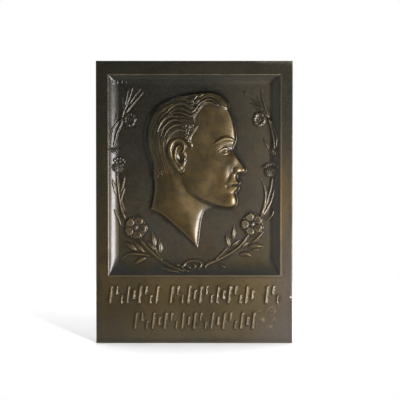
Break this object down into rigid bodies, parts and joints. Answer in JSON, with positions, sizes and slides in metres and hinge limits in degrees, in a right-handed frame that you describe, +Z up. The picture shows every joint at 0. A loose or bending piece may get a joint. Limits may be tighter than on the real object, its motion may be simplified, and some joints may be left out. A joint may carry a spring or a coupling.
{
  "type": "commemorative wall plaque",
  "caption": "Upright cast bronze wall plaque with a sunk, coved panel holding a head in profile between flower sprays, above rows of raised strokes.",
  "frame": {"origin": "middle of the flat back face, which lies against the wall", "axes": "+Z up the plaque, +X to the right as it is read, +Y into the wall; the relief faces -Y"},
  "size_m": [0.254, 0.0178, 0.365],
  "materials": {
    "bronze": "dark brown patinated cast bronze, lightly waxed, rubbed brighter on the high points"
  },
  "bodies": {
    "root": {"plaque": "bronze"}
  },
  "joints": []
}
